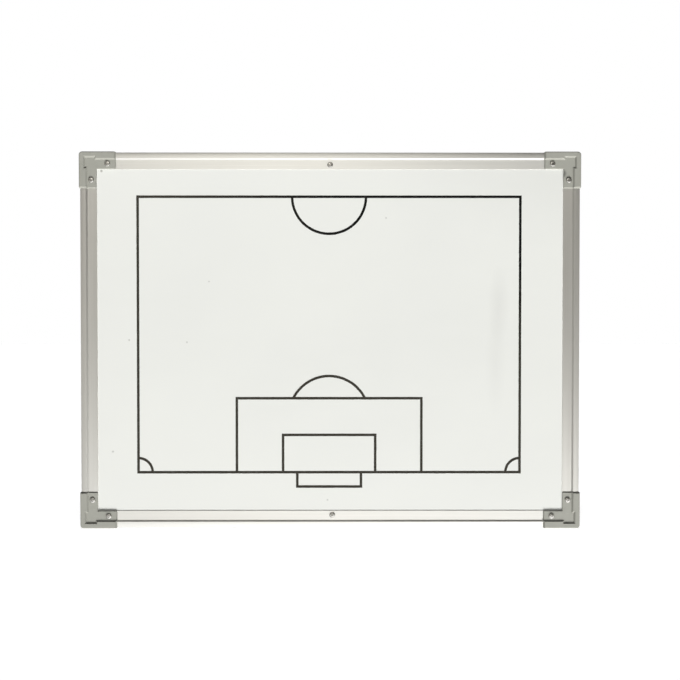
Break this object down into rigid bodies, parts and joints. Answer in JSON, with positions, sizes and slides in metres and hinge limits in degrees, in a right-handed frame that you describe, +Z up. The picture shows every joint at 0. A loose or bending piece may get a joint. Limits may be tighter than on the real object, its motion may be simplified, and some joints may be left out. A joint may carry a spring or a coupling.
{
  "type": "tactics board",
  "caption": "Framed magnetic tactics board: white steel face printed with half a football pitch, aluminium rails, grey moulded corner caps.",
  "frame": {"origin": "on the ground plane under the middle of the board, where the two lower caps stand", "axes": "+X to the right as seen from the front, +Y from the printed face to the back, +Z up"},
  "size_m": [0.602, 0.0186, 0.453],
  "materials": {
    "white_enamel": "glossy white baked enamel on steel sheet",
    "black_ink": "satin black screen-printed ink",
    "core_paper": "raw kraft paper",
    "zinc_sheet": "bare zinc-coated steel sheet with a fine spangle",
    "batten_wood": "planed, unfinished timber",
    "satin_aluminium": "satin anodised extrusion with fine die lines along it",
    "grey_plastic": "fine matte moulded grey plastic",
    "plated_screw": "bright nickel-plated steel"
  },
  "bodies": {
    "root": {"writing_sheet": "white_enamel", "pitch_print": "black_ink", "honeycomb_core": "core_paper", "rear_sheet": "zinc_sheet", "top_batten": "batten_wood", "bottom_batten": "batten_wood", "left_batten": "batten_wood", "right_batten": "batten_wood", "top_rail": "satin_aluminium", "bottom_rail": "satin_aluminium", "left_rail": "satin_aluminium", "right_rail": "satin_aluminium", "top_left_cap": "grey_plastic", "top_right_cap": "grey_plastic", "bottom_left_cap": "grey_plastic", "bottom_right_cap": "grey_plastic", "top_middle_screw": "plated_screw", "bottom_middle_screw": "plated_screw", "top_left_screw_top_rail": "plated_screw", "top_left_screw_left_rail": "plated_screw", "top_right_screw_top_rail": "plated_screw", "top_right_screw_right_rail": "plated_screw", "bottom_left_screw_bottom_rail": "plated_screw", "bottom_left_screw_left_rail": "plated_screw", "bottom_right_screw_bottom_rail": "plated_screw", "bottom_right_screw_right_rail": "plated_screw"}
  },
  "joints": []
}
